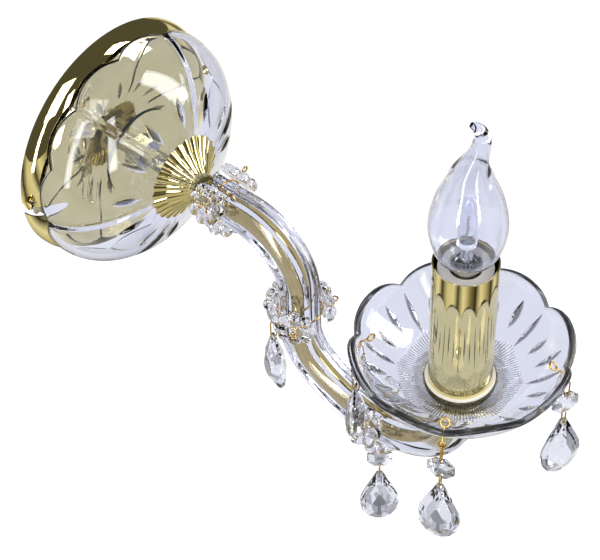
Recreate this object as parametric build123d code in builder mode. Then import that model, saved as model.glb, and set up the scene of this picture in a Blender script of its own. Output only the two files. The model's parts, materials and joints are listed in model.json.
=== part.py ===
from build123d import *

import os
from math import asin, cos, degrees, radians, sin, sqrt

os.makedirs("parts", exist_ok=True)

# A one-light crystal wall sconce. The wall is the plane Y = 0, with +Y into the wall, +X to the
# right as the room sees it and +Z up. The origin is the middle of the mounting face.
# All lengths are in mm and all angles in degrees.

# Arm route: out of the wall, down, forward and up to the candle
reach = 220.0
arm_out = 122.0
arm_drop = 91.7
first_bend = 32.0
second_bend = 26.0
second_turn = 50.0
last_bend = 48.0
slow_bend = (
    reach - last_bend - arm_out - second_bend * (1 - cos(radians(second_turn)))
) / cos(radians(second_turn))
drop_end = -(
    arm_drop
    - slow_bend * (1 - sin(radians(second_turn)))
    - second_bend * sin(radians(second_turn))
)

# Fits
slip = 0.1
clearance = 0.3
sheet = 0.8

# Canopy: a shallow polished dish with a notch and a side screw at each end
canopy_r = 63.6
canopy_depth = 20.0
canopy_power = 2.4
notch_width = 7.0
notch_length = 15.0
notch_turn = 3.0
side_screw_turn = 3.0
side_screw_depth = 6.0
side_screw_r = 1.5
side_screw_head_r = 2.7
side_screw_head = 1.8
side_screw_length = 9.0

# Wall bracket
strap_half_width = 11.0
strap_thick = 2.0
slot_spacing = 60.0
slot_length = 20.0
slot_width = 5.0
tab_end = 8.6
tab_half_width = 7.0
tab_gap = 1.2
platform_half_width = 14.0
platform_top = 38.0

# Supply terminals
block_half_width = 10.0
block_bottom = 20.0
block_top = 36.0
block_thick = 12.5
pole_spacing = 10.0
clamp_width = 4.8
clamp_bore_r = 1.4
pole_depth = 7.5
clamp_screw_r = 1.3

# Threaded tube, nuts and couplings on it
thread_r = 5.0
root_bore_r = 3.5
nipple_back = 13.5
nut_flats = 14.0
nut_height = 4.0
washer_r = 12.0
washer_thick = 1.0
gasket_r = 10.0
gasket_thick = 1.5
coupling_r = 7.5
root_coupling_length = 6.0
candle_coupling_length = 8.0
screwed_in = 1.8
nipple_gap = 0.2

# Glass bowl over the canopy
bowl_r = 62.4
bowl_rise = 39.0
bowl_rim = 12.0
bowl_wall = 3.5
bowl_lobes = 12
bowl_notch_angle = 64.7
bowl_notch = 4.3
rim_skirt = 2.0

# Fluted cap, the same stamping on the bowl and under the dish
cap_rim_r = 22.8
cap_valley = 1.4
cap_height = 10.4
cap_flutes = 24
cap_hub_r = 7.2
cap_wall = 0.6

# Arm: a metal tube inside two fluted glass bars
tube_r = 5.0
tube_bore_r = 4.0
bar_r = 10.5
bar_valley_r = 9.8
bar_bore_r = 5.3
bar_flutes = 3
bar_slit = 3.0
bar_seam = 0.15
bar_root_gap = 0.3

# Florets and their wire rings on the arm
root_cluster = 75.0
mid_cluster = 45.0
low_cluster = reach - last_bend + 1.0
floret_turns = (60.0, 180.0, 300.0)
floret_r = 10.5
petal_count = 8
petal_r = 3.3
petal_height = 1.5
floret_base = 2.6
floret_boss_r = 4.6
floret_boss = 4.6
floret_hole_r = 1.2
floret_wire_r = 0.45
bend_extra = 1.2
eye_r = 1.5

# Glass dish under the candle
dish_r = 52.0
dish_lobes = 8
dish_notch_angle = 27.7
dish_notch = 6.0
dish_rim = 0.5
dish_bottom = -25.5
dish_round = 30.0
dish_power = 1.5
dish_wall = 3.5
dish_hole_r = 5.2
pin_hole_r = 1.1
pin_inset = 5.0
pin_height = -9.4
pin_tilt = 38.0
pin_reach = 2.6
pin_length = 7.1
pin_curl_r = 2.0

# Candle sleeve and lampholder
sleeve_r = 15.0
sleeve_top = 54.5
pad_r = 16.4
pad_thick = 0.8
pad_bore_r = 11.0
holder_stem_r = 10.0
holder_r = 12.5
holder_foot = -17.0
nipple_engaged = 9.0
holder_neck = 8.0
holder_shoulder = 14.0
holder_top = 51.0
holder_floor = 22.0
holder_floor_thick = 4.0
socket_r = 7.6
chamber_r = 8.2
chamber_bottom = -5.0
shell_r = 7.05
shell_wall = 0.4
shell_bottom = 28.0
shell_top = 50.0
contact_r = 3.0
contact_thick = 1.25
rivet_r = 1.0
tail_height = 6.0
tail_bottom = 14.0
tail_half = 2.4
tail_screw_r = 0.9
tail_screw_height = 16.5

# Candle bulb with a bent tip
bulb_r = 17.4
bulb_widest = 77.5
bulb_wall = 0.8
bulb_neck_r = 6.2
bulb_cap_r = 6.75
bulb_cap_top = 54.0
bulb_cap_bottom = 32.0
bulb_insulator_bottom = 29.0
bulb_contact_r = 3.2
bulb_contact_gap = 0.05
bulb_shoulder = 104.0
bulb_shoulder_r = 10.2
capsule_r = 4.5
capsule_bottom = 66.0
capsule_top = 95.0
capsule_wall = 0.9

# Wires
wire_r = 1.1
wire_side = 1.6
wire_bend = 5.0
wire_gap = 1.0
wire_top = 15.8

# Crystal pendants
link_r = 0.4
link_half_width = 1.6
octagon_r = 7.0
octagon_table_r = 2.75
octagon_thick = 4.0
octagon_girdle = 1.0
octagon_hole = 4.6
crystal_hole_r = 1.1
dish_pendant_drop = 16.7
mid_pendant_drop = 17.5
low_pendant_drop = 10.9
link_pitch = 10.0
mid_link_pitch = 13.0
hang_gap = 0.15
drop_height = 39.0
drop_width = 20.4
drop_widest = 0.6
drop_thick = 9.0
drop_mid_thick = 4.4
drop_girdle = 1.2
drop_hole = 2.6
drop_mid_scale = 0.72
drop_table_scale = 0.4

# Planes and axes. In a sketch on wall_side, x is the radius and y the distance from the wall;
# in one on candle_side, x is the radius and y the height.
wall_side = Plane((0, 0, 0), x_dir=(1, 0, 0), z_dir=(0, 0, -1))
candle_side = Plane.XZ.offset(reach)
candle_base = Plane((0, -reach, 0))
wall_axis = Axis((0, 0, 0), (0, -1, 0))
candle_axis = Axis((0, -reach, 0), (0, 0, 1))


def plan(azimuth):
    """Horizontal unit vector at an azimuth from +X toward +Y."""
    return Vector(cos(radians(azimuth)), sin(radians(azimuth)), 0)


def around(angle):
    """Unit vector in the wall plane at an angle from +X toward +Z."""
    return Vector(cos(radians(angle)), 0, sin(radians(angle)))


def polar(radius, angle):
    """Point of a sketch at a radius and an angle from the sketch's x axis."""
    return (radius * cos(radians(angle)), radius * sin(radians(angle)))


def dome_depth(radius, rim, depth):
    """Depth of the canopy's round shoulder, a superellipse, at a radius."""
    return depth * (1 - (radius / rim) ** canopy_power) ** (1 / canopy_power)


def dome_radius(level, rim, depth):
    """Radius of the canopy's round shoulder at a distance from the wall."""
    return rim * (1 - (level / depth) ** canopy_power) ** (1 / canopy_power)


def quarter(width, depth, power):
    """Points of a quarter superellipse from the end of its width to the end of its depth."""
    share = 2 / power
    turns = (0, 8, 20, 35, 50, 65, 80)
    points = [(width * cos(radians(t)) ** share, depth * sin(radians(t)) ** share) for t in turns]
    return points + [(0, depth)]


def dome_profile(rim, depth):
    """Filled half section of the canopy's superellipse, from the rim to the crown."""
    with BuildSketch(wall_side) as profile:
        with BuildLine():
            Spline(*quarter(rim, depth, canopy_power), tangents=[(0, 1), (-1, 0)])
            Line((0, depth), (0, 0))
            Line((0, 0), (rim, 0))
        make_face()
    return profile.sketch


def ellipse_depth(radius, centre, half_width, half_height):
    """Height of a quarter ellipse over its rim line at a radius from the axis."""
    return half_height * sqrt(1 - ((radius - centre) / half_width) ** 2)


def arch_cut(plane, rim, notch, half):
    """Waste between two round arches that meet in a notch; x of the plane runs into the glass."""
    radius = (half**2 + (notch - rim) ** 2) / (2 * (notch - rim))
    edge = half + rim_skirt / 2
    with BuildSketch(plane) as waste:
        with BuildLine():
            RadiusArc((rim, half), (notch, 0), -radius)
            RadiusArc((notch, 0), (rim, -half), -radius)
            Polyline(
                (rim, -half),
                (rim, -edge),
                (rim - 2 * rim_skirt, -edge),
                (rim - 2 * rim_skirt, edge),
                (rim, edge),
                (rim, half),
            )
        make_face()
    return waste.sketch


def arm_line(first, last, side=0.0):
    """Centre line of the arm, from a distance to the wall up to a height under the candle."""
    with BuildLine(Plane.YZ.offset(side)) as line:
        out = Line((-first, 0), (first_bend - arm_out, 0))
        down = JernArc(out @ 1, out % 1, first_bend, 90)
        fall = Line(down @ 1, down @ 1 + Vector(0, 0, drop_end + first_bend))
        forward = JernArc(fall @ 1, fall % 1, second_bend, -second_turn)
        low = JernArc(forward @ 1, forward % 1, slow_bend, second_turn - 90)
        rise = JernArc(low @ 1, low % 1, last_bend, -90)
        Line(rise @ 1, rise @ 1 + Vector(0, 0, last + arm_drop - last_bend))
    return line.line


def hex_nut(plane):
    """Thin hexagon nut for the threaded tube, its seat on the plane."""
    with BuildPart() as nut:
        with BuildSketch(plane):
            RegularPolygon(nut_flats / 2, 6, major_radius=False)
            Circle(thread_r + slip / 2, mode=Mode.SUBTRACT)
        extrude(amount=nut_height)
    return nut.part


def wavy(plane, crest, valley, count, turn=0.0):
    """Closed outline of equal round lobes that meet in valleys."""
    step = 360 / count
    with BuildSketch(plane) as outline:
        with BuildLine():
            for k in range(count):
                start = turn + k * step
                ThreePointArc(
                    polar(valley, start), polar(crest, start + step / 2), polar(valley, start + step)
                )
        make_face()
    return outline.sketch


def fluted_cone(plane, shrink):
    """Fluted bell of the cap, three straight steps from rim to hub, moved inward by shrink."""
    hub = cap_hub_r
    wide = cap_rim_r - hub
    shape = ((0, 1.0), (0.3, 0.62), (0.7, 0.24), (1, 0))
    slices = []
    for share, spread in shape:
        crest = hub + wide * spread - shrink
        dip = cap_valley * (0.2 + 0.8 * spread)
        level = share * cap_height - (shrink if share else 0)
        slices.append(wavy(plane.offset(level), crest, crest - dip, cap_flutes))
    with BuildPart() as cone:
        loft(sections=slices, ruled=True)
    return cone.part


def fluted_cap(plane):
    """Stamped fluted cap with its open rim on the plane and its bored hub above it."""
    with BuildPart() as cap:
        add(fluted_cone(plane, 0))
        add(fluted_cone(plane, cap_wall), mode=Mode.SUBTRACT)
        with BuildSketch(plane.offset(-1)):
            Circle(thread_r + clearance)
        extrude(amount=cap_height + 2, mode=Mode.SUBTRACT)
    return cap


def glass_bar(side):
    """Half of the arm's glass: fluted outside, round inside, slit on the outer side of the bends."""
    seam = side * bar_seam
    slit = side * bar_slit
    slit_turn = degrees(asin(bar_slit / bar_valley_r))
    seam_turn = degrees(asin(bar_seam / bar_valley_r))
    step = (180 - slit_turn - seam_turn) / bar_flutes
    start = root_end + bar_root_gap

    def rim(radius, turn):
        return (side * radius * sin(radians(turn)), radius * cos(radians(turn)))

    inner_slit = (slit, sqrt(bar_bore_r**2 - bar_slit**2))
    inner_seam = (seam, -sqrt(bar_bore_r**2 - bar_seam**2))
    with BuildPart() as bar:
        with BuildSketch(Plane.XZ.offset(start)) as section:
            with BuildLine():
                for k in range(bar_flutes):
                    turn = slit_turn + k * step
                    ThreePointArc(
                        rim(bar_valley_r, turn), rim(bar_r, turn + step / 2), rim(bar_valley_r, turn + step)
                    )
                Line(rim(bar_valley_r, 180 - seam_turn), inner_seam)
                ThreePointArc(inner_seam, (side * bar_bore_r, 0), inner_slit)
                Line(inner_slit, rim(bar_valley_r, slit_turn))
            make_face()
        sweep(sections=section.sketch, path=arm_line(start, candle_coupling_bottom - bar_root_gap))
    return bar


def floret(plane):
    """Pressed glass floret with a flat back on the plane: a disc, a ring of round petals and a boss."""
    with BuildPart() as glass:
        with BuildSketch(plane):
            Circle(floret_r - petal_r / 2)
        extrude(amount=floret_base)
        with BuildSketch(plane):
            Circle(floret_boss_r)
        extrude(amount=floret_boss)
        with Locations(plane.offset(petal_height)):
            with PolarLocations(floret_r - petal_r, petal_count):
                Sphere(petal_r)
        split(bisect_by=plane, keep=Keep.TOP)
        with BuildSketch(plane):
            Circle(floret_hole_r)
        extrude(amount=2 * floret_boss, mode=Mode.SUBTRACT)
    return glass.part


def cluster(centre, heading, outer, lift, hang):
    """Three florets round the arm on a wire ring, whose stems end in eyes; hang is the axis of
    the eye on the inner side of the bend. Gives the florets, the wires and that eye's centre."""
    flowers = []
    stem_r = floret_wire_r - slip / 2
    with BuildPart() as wires:
        with Locations(Plane(centre, z_dir=heading)):
            Torus(floret_ring_r, floret_wire_r)
        for turn in floret_turns:
            way = outer.rotate(Axis((0, 0, 0), heading), turn)
            back = floret_ring_r + floret_wire_r + clearance + lift
            eye = centre + way * (back + floret_boss + floret_wire_r + eye_r)
            flowers.append(floret(Plane(centre + way * back, z_dir=way)))
            with BuildSketch(Plane(centre + way * floret_ring_r, z_dir=way)):
                Circle(stem_r)
            extrude(amount=(eye - centre).length - floret_ring_r - eye_r)
            with Locations(Plane(eye, z_dir=hang if turn == 180 else heading)):
                Torus(eye_r, floret_wire_r)
            if turn == 180:
                hanging = eye
    return flowers, wires.part, hanging


def racetrack(top, bottom, azimuth):
    """Long wire link in the vertical plane of the azimuth, between the wire centres top and bottom."""
    across = plan(azimuth)
    low = bottom + Vector(0, 0, link_half_width)
    high = top - Vector(0, 0, link_half_width)
    left = -link_half_width * across
    right = link_half_width * across
    with BuildPart() as link:
        with BuildLine() as loop:
            Line(low + left, high + left)
            ThreePointArc(high + left, top, high + right)
            Line(high + right, low + right)
            ThreePointArc(low + right, bottom, low + left)
        with BuildSketch(Plane(low + left, z_dir=(0, 0, 1))):
            Circle(link_r)
        sweep(path=loop.line)
    return link.part


def faceted(plane, outline, levels):
    """Cut crystal: straight facets between scaled copies of an outline at levels along the normal."""
    slices = []
    for level, size in levels:
        with BuildSketch(plane.offset(level)) as cut:
            with BuildLine():
                Polyline(*[(x * size, y * size) for x, y in outline], close=True)
            make_face()
        slices.append(cut.sketch)
    with BuildPart() as crystal:
        loft(sections=slices, ruled=True)
    return crystal.part


def bored(crystal, centre, normal):
    """A crystal with a hanging hole through it at a point."""
    with BuildPart() as drilled:
        add(crystal)
        with BuildSketch(Plane(centre - normal * drop_thick, z_dir=normal)):
            Circle(crystal_hole_r)
        extrude(amount=2 * drop_thick, mode=Mode.SUBTRACT)
    return drilled.part


def pear_outline():
    """Outline of the drop about the middle of its widest line, clockwise from the top corner."""
    half = drop_width / 2
    over = drop_height * drop_widest
    under = drop_height - over
    right = [
        (half * 0.14, over),
        (half * 0.40, over * 0.74),
        (half * 0.72, over * 0.42),
        (half * 0.94, over * 0.16),
        (half, -under * 0.10),
        (half * 0.88, -under * 0.52),
        (half * 0.56, -under * 0.86),
        (half * 0.16, -under),
    ]
    return right + [(-x, y) for x, y in reversed(right)]


# Stations along the wall axis (distances from the wall) and up the candle (heights)
inner_rim = canopy_r - sheet
inner_depth = canopy_depth - sheet
washer_front = dome_depth(washer_r, inner_rim, inner_depth)
bowl_hollow = bowl_rim + ellipse_depth(gasket_r, 0, bowl_r - bowl_wall, bowl_rise - bowl_wall)
cap_seat = bowl_rim + ellipse_depth(cap_rim_r - cap_valley - cap_wall, 0, bowl_r, bowl_rise)
root_hub = cap_seat + slip + cap_height
root_end = root_hub + root_coupling_length
tube_start = root_end - screwed_in * 2
candle_hub = dish_bottom - slip - cap_height
candle_coupling_bottom = candle_hub - candle_coupling_length
tube_end = candle_coupling_bottom + screwed_in * 2
dish_floor = dish_bottom + dish_wall
pad_top = dish_floor + pad_thick
floret_ring_r = bar_r + floret_wire_r + slip
nut_corner_r = nut_flats / sqrt(3)

# Wall bracket: a strap with two slots, a tab bent forward at each end and a terminal platform
tab_x = dome_radius(tab_end, inner_rim, inner_depth) - tab_gap
screw_z = canopy_r * sin(radians(side_screw_turn))
earth_x = -slot_spacing / 4
earth_z = -strap_half_width / 2
earth_r = 2.0
with BuildPart() as wall_bracket:
    with BuildSketch(Plane.XZ):
        Rectangle(2 * tab_x, 2 * strap_half_width)
        Rectangle(2 * platform_half_width, platform_top, align=(Align.CENTER, Align.MIN))
        with GridLocations(slot_spacing, 0, 2, 1):
            SlotOverall(slot_length, slot_width, mode=Mode.SUBTRACT)
        with Locations((earth_x, earth_z)):
            Circle(earth_r + slip / 2, mode=Mode.SUBTRACT)
    extrude(amount=strap_thick)
    for end in (-1, 1):
        with BuildSketch(Plane.YZ.offset(end * tab_x)):
            with Locations((-tab_end / 2, 0)):
                Rectangle(tab_end, 2 * tab_half_width)
            with Locations((-side_screw_depth, screw_z)):
                Circle(side_screw_r + slip / 2, mode=Mode.SUBTRACT)
        extrude(amount=-end * strap_thick)
wall_bracket.part.label = "wall_bracket"
export_step(wall_bracket.part, "parts/wall_bracket.step")

# Canopy: dish of even wall, bored crown, a notch and a screw hole at each end
with BuildPart() as canopy:
    revolve(profiles=dome_profile(canopy_r, canopy_depth), axis=wall_axis)
    revolve(profiles=dome_profile(inner_rim, inner_depth), axis=wall_axis, mode=Mode.SUBTRACT)
    with BuildSketch(Plane.XZ):
        Circle(thread_r + clearance)
    extrude(amount=canopy_depth + 1, mode=Mode.SUBTRACT)
    for side in (180 + notch_turn, -notch_turn):
        with BuildSketch(Plane((0, 0, 0), x_dir=(0, -1, 0), z_dir=around(side))):
            SlotOverall(2 * notch_length, notch_width)
        extrude(amount=canopy_r + 1, mode=Mode.SUBTRACT)
    for side in (-1, 1):
        with BuildSketch(Plane.YZ.offset(side * tab_x)):
            with Locations((-side_screw_depth, screw_z)):
                Circle(side_screw_r + clearance)
        extrude(amount=side * canopy_r, mode=Mode.SUBTRACT)
canopy.part.label = "canopy"
export_step(canopy.part, "parts/canopy.step")

# Side screws, through the canopy into the bracket's tabs
head_level = side_screw_depth - side_screw_head_r
head_z = screw_z - side_screw_head_r
head_x = sqrt(dome_radius(head_level, canopy_r, canopy_depth) ** 2 - head_z**2) + slip
with BuildPart() as canopy_screws:
    for side in (-1, 1):
        with BuildSketch(Plane.YZ.offset(side * head_x)):
            with Locations((-side_screw_depth, screw_z)):
                Circle(side_screw_r)
        extrude(amount=-side * side_screw_length)
        with BuildSketch(Plane.YZ.offset(side * head_x)):
            with Locations((-side_screw_depth, screw_z)):
                Circle(side_screw_head_r)
        extrude(amount=side * side_screw_head)
        with BuildSketch(Plane.YZ.offset(side * (head_x + side_screw_head))):
            with Locations((-side_screw_depth, screw_z)):
                Rectangle(side_screw_head, 2 * side_screw_head_r, rotation=90 - side * 60)
        extrude(amount=-side * side_screw_head / 2, mode=Mode.SUBTRACT)
canopy_screws.part.label = "canopy_screws"
export_step(canopy_screws.part, "parts/canopy_screws.step")

# Terminal block on the platform, open top and bottom round each clamp
block_mid = (block_bottom + block_top) / 2
block_height = block_top - block_bottom
block_front = strap_thick + block_thick
clamp_screw_step = block_height / 2
with BuildPart() as terminal_block:
    with BuildSketch(Plane.XY.offset(block_bottom)):
        with Locations((0, -strap_thick - block_thick / 2)):
            Rectangle(2 * block_half_width, block_thick)
        with Locations((0, -pole_depth)):
            with GridLocations(pole_spacing, 0, 2, 1):
                Rectangle(clamp_width + slip, clamp_width + slip, mode=Mode.SUBTRACT)
    extrude(amount=block_height)
    with BuildSketch(Plane.XZ.offset(block_front)):
        with Locations((0, block_mid)):
            with GridLocations(pole_spacing, clamp_screw_step, 2, 2):
                Circle(clamp_screw_r + slip)
    extrude(amount=-(block_front - pole_depth), mode=Mode.SUBTRACT)
terminal_block.part.label = "terminal_block"
export_step(terminal_block.part, "parts/terminal_block.step")

with BuildPart() as terminal_clamps:
    with BuildSketch(Plane.XY.offset(block_bottom + wire_gap)):
        with Locations((0, -pole_depth)):
            with GridLocations(pole_spacing, 0, 2, 1):
                Rectangle(clamp_width, clamp_width)
                Circle(clamp_bore_r, mode=Mode.SUBTRACT)
    extrude(amount=block_height - 2 * wire_gap)
    with BuildSketch(Plane.XZ.offset(block_front)):
        with Locations((0, block_mid)):
            with GridLocations(pole_spacing, clamp_screw_step, 2, 2):
                Circle(clamp_screw_r + slip / 2)
    extrude(amount=-(block_front - pole_depth), mode=Mode.SUBTRACT)
terminal_clamps.part.label = "terminal_clamps"
export_step(terminal_clamps.part, "parts/terminal_clamps.step")

with BuildPart() as terminal_screws:
    with BuildSketch(Plane.XZ.offset(block_front - wire_gap)):
        with Locations((0, block_mid)):
            with GridLocations(pole_spacing, clamp_screw_step, 2, 2):
                Circle(clamp_screw_r)
    extrude(amount=-(block_front - wire_gap - pole_depth - wire_r - slip))
terminal_screws.part.label = "terminal_screws"
export_step(terminal_screws.part, "parts/terminal_screws.step")

# Earth screw on the strap, its head clamping the earth wire
earth_wire_r = 0.9
earth_wire_level = strap_thick + slip + earth_wire_r
earth_seat = strap_thick + 2 * (slip + earth_wire_r)
with BuildPart() as earth_screw:
    with BuildSketch(Plane.XZ):
        with Locations((earth_x, earth_z)):
            Circle(earth_r)
    extrude(amount=earth_seat)
    with BuildSketch(Plane.XZ.offset(earth_seat)):
        with Locations((earth_x, earth_z)):
            Circle(2 * earth_r)
            Rectangle(4 * earth_r, earth_r / 3, mode=Mode.SUBTRACT)
    extrude(amount=earth_r)
earth_screw.part.label = "earth_screw"
export_step(earth_screw.part, "parts/earth_screw.step")

# Threaded tube through canopy and bowl into the root coupling
with BuildPart() as root_nipple:
    with BuildSketch(Plane.XZ.offset(nipple_back)):
        Circle(thread_r)
        Circle(root_bore_r, mode=Mode.SUBTRACT)
    extrude(amount=tube_start - nipple_gap - nipple_back)
root_nipple.part.label = "root_nipple"
export_step(root_nipple.part, "parts/root_nipple.step")

# The four thin nuts: inside the canopy, in front of it, behind the bowl and in the dish
inner_nut = Plane.XZ.offset(washer_front - slip - washer_thick - nut_height)
outer_nut = Plane.XZ.offset(canopy_depth + slip)
bowl_nut = Plane.XZ.offset(bowl_hollow - slip - gasket_thick - nut_height)
with BuildPart() as hex_nuts:
    add(hex_nut(inner_nut))
    add(hex_nut(outer_nut))
    add(hex_nut(bowl_nut))
    add(hex_nut(candle_base.offset(dish_floor)))
hex_nuts.part.label = "hex_nuts"
export_step(hex_nuts.part, "parts/hex_nuts.step")

with BuildPart() as canopy_washer:
    with BuildSketch(Plane.XZ.offset(washer_front - slip - washer_thick)):
        Circle(washer_r)
        Circle(thread_r + clearance, mode=Mode.SUBTRACT)
    extrude(amount=washer_thick)
canopy_washer.part.label = "canopy_washer"
export_step(canopy_washer.part, "parts/canopy_washer.step")

# Glass bowl: half an ellipse turned, its rim cut to arches that meet in notches
lobe_half = (bowl_r - bowl_wall / 2) * sin(radians(180 / bowl_lobes))
with BuildPart() as glass_bowl:
    with BuildSketch(wall_side):
        with BuildLine():
            Line((bowl_r - bowl_wall, bowl_rim - rim_skirt), (bowl_r, bowl_rim - rim_skirt))
            Line((bowl_r, bowl_rim - rim_skirt), (bowl_r, bowl_rim))
            EllipticalCenterArc((0, bowl_rim), bowl_r, bowl_rise, arc_size=90)
            Line((0, bowl_rim + bowl_rise), (0, bowl_rim + bowl_rise - bowl_wall))
            EllipticalCenterArc((0, bowl_rim), bowl_r - bowl_wall, bowl_rise - bowl_wall, arc_size=90)
            Line((bowl_r - bowl_wall, bowl_rim), (bowl_r - bowl_wall, bowl_rim - rim_skirt))
        make_face()
    revolve(axis=wall_axis)
    with BuildSketch(Plane.XZ.offset(bowl_rim)):
        Circle(thread_r + clearance)
    extrude(amount=bowl_rise + 1, mode=Mode.SUBTRACT)
    for k in range(bowl_lobes):
        way = around(bowl_notch_angle + k * 360 / bowl_lobes)
        side = Plane(way * (bowl_r / 2), x_dir=(0, -1, 0), z_dir=way)
        waste = arch_cut(side, bowl_rim, bowl_rim + bowl_notch, lobe_half)
        extrude(to_extrude=waste, amount=bowl_r, mode=Mode.SUBTRACT)
glass_bowl.part.label = "glass_bowl"
export_step(glass_bowl.part, "parts/glass_bowl.step")

with BuildPart() as bowl_gasket:
    with BuildSketch(Plane.XZ.offset(bowl_hollow - slip - gasket_thick)):
        Circle(gasket_r)
        Circle(thread_r + clearance, mode=Mode.SUBTRACT)
    extrude(amount=gasket_thick)
bowl_gasket.part.label = "bowl_gasket"
export_step(bowl_gasket.part, "parts/bowl_gasket.step")

# The two fluted caps
fluted_rosette = fluted_cap(Plane.XZ.offset(cap_seat + slip))
fluted_rosette.part.label = "fluted_rosette"
export_step(fluted_rosette.part, "parts/fluted_rosette.step")

bobeche_cup = fluted_cap(Plane((0, -reach, dish_bottom - slip), x_dir=(1, 0, 0), z_dir=(0, 0, -1)))
bobeche_cup.part.label = "bobeche_cup"
export_step(bobeche_cup.part, "parts/bobeche_cup.step")

# Round couplings at both ends of the arm
with BuildPart() as arm_couplings:
    with BuildSketch(Plane.XZ.offset(root_hub)):
        Circle(coupling_r)
        Circle(tube_r + slip / 2, mode=Mode.SUBTRACT)
    extrude(amount=root_coupling_length)
    with BuildSketch(candle_base.offset(candle_coupling_bottom)):
        Circle(coupling_r)
        Circle(tube_r + slip / 2, mode=Mode.SUBTRACT)
    extrude(amount=candle_coupling_length)
arm_couplings.part.label = "arm_couplings"
export_step(arm_couplings.part, "parts/arm_couplings.step")

# Arm tube and its two glass bars
with BuildPart() as arm_tube:
    with BuildSketch(Plane.XZ.offset(tube_start)):
        Circle(tube_r)
        Circle(tube_bore_r, mode=Mode.SUBTRACT)
    sweep(path=arm_line(tube_start, tube_end))
arm_tube.part.label = "arm_tube"
export_step(arm_tube.part, "parts/arm_tube.step")

arm_glass_right = glass_bar(1)
arm_glass_right.part.label = "arm_glass_right"
export_step(arm_glass_right.part, "parts/arm_glass_right.step")

arm_glass_left = glass_bar(-1)
arm_glass_left.part.label = "arm_glass_left"
export_step(arm_glass_left.part, "parts/arm_glass_left.step")

# Floret clusters: at the root, on the falling stretch and at the lowest part of the arm
front = Vector(0, -1, 0)
down = Vector(0, 0, -1)
up = Vector(0, 0, 1)
low_centre = Vector(0, -low_cluster, -arm_drop)
mid_centre = Vector(0, -arm_out, -mid_cluster)
mid_hang = 180
low_hang = 207
clusters = {
    "root": cluster(Vector(0, -root_cluster, 0), front, up, 0, Vector(1, 0, 0)),
    "mid": cluster(mid_centre, down, front, 0, plan(mid_hang)),
    "low": cluster(low_centre, front, up, bend_extra, plan(low_hang)),
}
for name, (flowers, wires, eye) in clusters.items():
    with BuildPart() as florets:
        for flower in flowers:
            add(flower)
    florets.part.label = f"{name}_florets"
    export_step(florets.part, f"parts/{name}_florets.step")
with BuildPart() as floret_wires:
    for flowers, wires, eye in clusters.values():
        add(wires)
floret_wires.part.label = "floret_wires"
export_step(floret_wires.part, "parts/floret_wires.step")

# Glass dish: part of a superellipse turned, its rim cut to arches, with a hole for each pin
dish_centre_r = dish_r - dish_round
dish_depth = dish_rim - dish_bottom
dish_half = (dish_r - dish_wall / 2) * sin(radians(180 / dish_lobes))
pin_r = dish_r - pin_inset
pin_azimuths = [dish_notch_angle + k * 90 for k in range(4)]


def dish_profile(inset):
    """Filled half section of the dish, moved inward by inset, with a straight skirt over the rim."""
    rows = quarter(dish_round - inset, dish_depth - inset, dish_power)
    with BuildSketch(candle_side) as profile:
        with BuildLine():
            side = Spline(
                *[(dish_centre_r + x, dish_rim - y) for x, y in rows], tangents=[(0, -1), (-1, 0)]
            )
            Polyline(
                side @ 1,
                (0, dish_bottom + inset),
                (0, dish_rim + rim_skirt),
                (dish_r - inset, dish_rim + rim_skirt),
                side @ 0,
            )
        make_face()
    return profile.sketch


def pin_line(azimuth):
    """Outer end and direction of a pin, which runs down and out through the wall of the dish."""
    way = plan(azimuth)
    along = way * cos(radians(pin_tilt)) - up * sin(radians(pin_tilt))
    return Vector(0, -reach, pin_height) + way * pin_r + along * pin_reach, along


with BuildPart() as bobeche:
    revolve(profiles=dish_profile(0), axis=candle_axis)
    revolve(profiles=dish_profile(dish_wall), axis=candle_axis, mode=Mode.SUBTRACT)
    with BuildSketch(candle_base.offset(dish_bottom)):
        Circle(dish_hole_r)
    extrude(amount=dish_wall, mode=Mode.SUBTRACT)
    for k in range(dish_lobes):
        way = plan(dish_notch_angle + k * 360 / dish_lobes)
        side = Plane(Vector(0, -reach, 0) + way * (dish_r / 2), x_dir=(0, 0, -1), z_dir=way)
        waste = arch_cut(side, -dish_rim, dish_notch - dish_rim, dish_half)
        extrude(to_extrude=waste, amount=dish_r, mode=Mode.SUBTRACT)
    for azimuth in pin_azimuths:
        top, along = pin_line(azimuth)
        with BuildSketch(Plane(top - along * pin_length, z_dir=along)):
            Circle(pin_hole_r)
        extrude(amount=pin_length, mode=Mode.SUBTRACT)
bobeche.part.label = "bobeche"
export_step(bobeche.part, "parts/bobeche.step")

# Pins in the dish: a flat curl inside, a straight shank and a hanging eye outside
shank_r = floret_wire_r - slip / 2
with BuildPart() as rim_pins:
    for azimuth in pin_azimuths:
        top, along = pin_line(azimuth)
        start = top - along * pin_length
        with BuildSketch(Plane(start, z_dir=along)):
            Circle(shank_r)
        extrude(amount=pin_length)
        with Locations(Plane(start - along * pin_curl_r, z_dir=along.cross(plan(azimuth + 90)))):
            Torus(pin_curl_r, floret_wire_r)
        with Locations(Plane(top - up * eye_r, z_dir=plan(azimuth))):
            Torus(eye_r, floret_wire_r)
rim_pins.part.label = "rim_pins"
export_step(rim_pins.part, "parts/rim_pins.step")

# Threaded tube from the arm through cup, dish and nut into the lampholder
with BuildPart() as candle_nipple:
    with BuildSketch(candle_base.offset(tube_end + nipple_gap)):
        Circle(thread_r)
        Circle(root_bore_r, mode=Mode.SUBTRACT)
    extrude(amount=holder_foot + nipple_engaged - tube_end - nipple_gap)
candle_nipple.part.label = "candle_nipple"
export_step(candle_nipple.part, "parts/candle_nipple.step")

with BuildPart() as sleeve_gasket:
    with BuildSketch(candle_base.offset(dish_floor)):
        Circle(pad_r)
        Circle(pad_bore_r, mode=Mode.SUBTRACT)
    extrude(amount=pad_thick)
sleeve_gasket.part.label = "sleeve_gasket"
export_step(sleeve_gasket.part, "parts/sleeve_gasket.step")

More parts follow.
